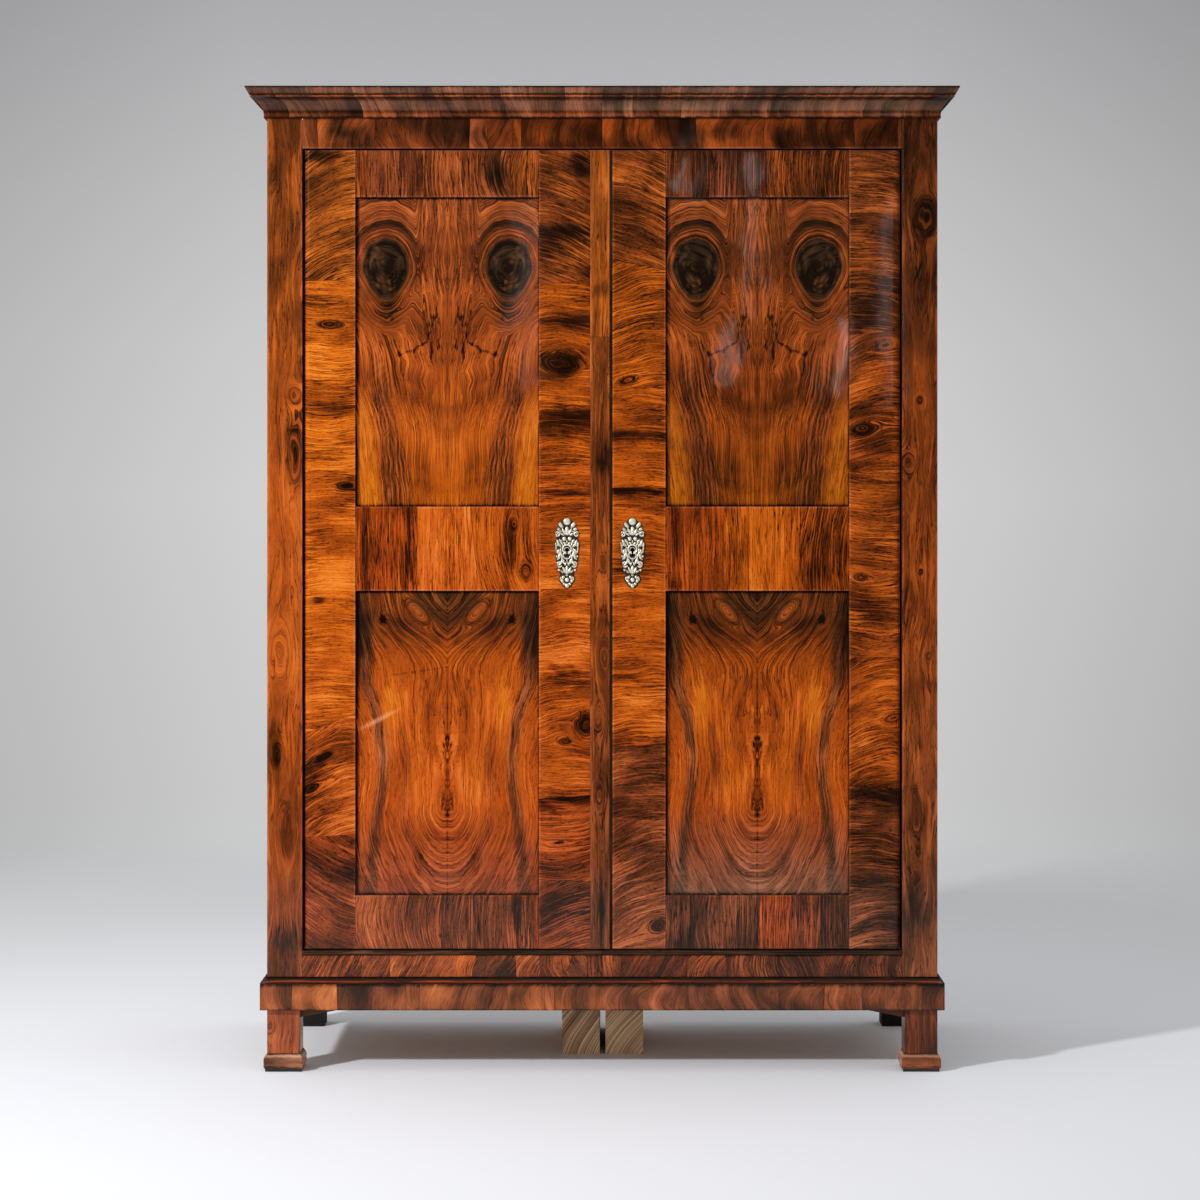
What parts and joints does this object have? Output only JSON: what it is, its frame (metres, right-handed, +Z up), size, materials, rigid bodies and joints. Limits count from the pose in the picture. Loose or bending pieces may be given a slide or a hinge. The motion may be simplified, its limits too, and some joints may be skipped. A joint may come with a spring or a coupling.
{
  "type": "wardrobe",
  "caption": "Walnut wardrobe with framed panel doors on pin hinges, rim locks, a cove cornice, a plinth on square moulded feet, ornate key plates, shelves and a hanging rail.",
  "frame": {"origin": "on the floor, under the middle of the whole outline", "axes": "+Z up, +Y to the back, +X to the right as seen from the front; the doors face -Y"},
  "size_m": [1.41, 0.6, 1.95],
  "materials": {
    "walnut_veneer": "gloss",
    "walnut_crotch_veneer": "gloss",
    "walnut_solid": "gloss",
    "pine": "matt",
    "raw_oak": "matt",
    "ebonised_wood": "gloss",
    "silvered_brass": "satin",
    "lock_steel": "satin",
    "hinge_iron": "satin"
  },
  "bodies": {
    "carcass": {"back_boards": "pine", "bottom_boards": "pine", "carcass_hinge_pins": "hinge_iron", "centre_beams": "raw_oak", "cornice_frame_rails": "pine", "foot_bases": "ebonised_wood", "foot_pads": "ebonised_wood", "hanging_rail": "pine", "joining_bolts": "hinge_iron", "left_bottom_rail": "walnut_veneer", "left_cornice_front": "walnut_veneer", "left_cornice_side": "walnut_veneer", "left_frieze_rail": "walnut_veneer", "left_front_foot": "walnut_veneer", "left_front_stile": "walnut_veneer", "left_partition": "pine", "left_plinth_front": "walnut_veneer", "left_plinth_side": "walnut_veneer", "left_side_board": "walnut_veneer", "plinth_frame_rails": "pine", "plinth_mouldings": "walnut_veneer", "rail_sockets": "pine", "rear_feet": "raw_oak", "right_bottom_rail": "walnut_veneer", "right_cornice_front": "walnut_veneer", "right_cornice_side": "walnut_veneer", "right_frieze_rail": "walnut_veneer", "right_front_foot": "walnut_veneer", "right_front_stile": "walnut_veneer", "right_partition": "pine", "right_plinth_front": "walnut_veneer", "right_plinth_side": "walnut_veneer", "right_side_board": "walnut_veneer", "shelf_bearers": "pine", "shelves": "pine", "sill_beads": "walnut_solid", "top_boards": "pine"},
    "left_door": {"left_door_bottom_rail": "walnut_veneer", "left_door_closing_strip": "walnut_solid", "left_door_escutcheon": "silvered_brass", "left_door_hinge_plates": "hinge_iron", "left_door_inner_stile": "walnut_veneer", "left_door_lock_case": "lock_steel", "left_door_lower_panel": "walnut_crotch_veneer", "left_door_middle_rail": "walnut_veneer", "left_door_outer_stile": "walnut_veneer", "left_door_top_rail": "walnut_veneer", "left_door_upper_panel": "walnut_crotch_veneer"},
    "right_door": {"right_door_bottom_rail": "walnut_veneer", "right_door_escutcheon": "silvered_brass", "right_door_hinge_plates": "hinge_iron", "right_door_inner_stile": "walnut_veneer", "right_door_lock_case": "lock_steel", "right_door_lower_panel": "walnut_crotch_veneer", "right_door_middle_rail": "walnut_veneer", "right_door_outer_stile": "walnut_veneer", "right_door_top_rail": "walnut_veneer", "right_door_upper_panel": "walnut_crotch_veneer"},
    "left_bolt": {"left_lock_bolt": "lock_steel"},
    "right_bolt": {"right_lock_bolt": "lock_steel"}
  },
  "joints": [
    {"name": "left_door_hinge", "type": "hinge", "parent": "carcass", "child": "left_door", "pos_m": [-0.58, -0.245, 0.24], "axis": [0, 0, -1], "range_deg": [0, 100]},
    {"name": "right_door_hinge", "type": "hinge", "parent": "carcass", "child": "right_door", "pos_m": [0.58, -0.245, 0.24], "axis": [0, 0, 1], "range_deg": [0, 100]},
    {"name": "left_bolt_slide", "type": "slide", "parent": "left_door", "child": "left_bolt", "axis": [1, 0, 0], "range_m": [0, 0.011]},
    {"name": "right_bolt_slide", "type": "slide", "parent": "right_door", "child": "right_bolt", "axis": [-1, 0, 0], "range_m": [0, 0.011]}
  ]
}
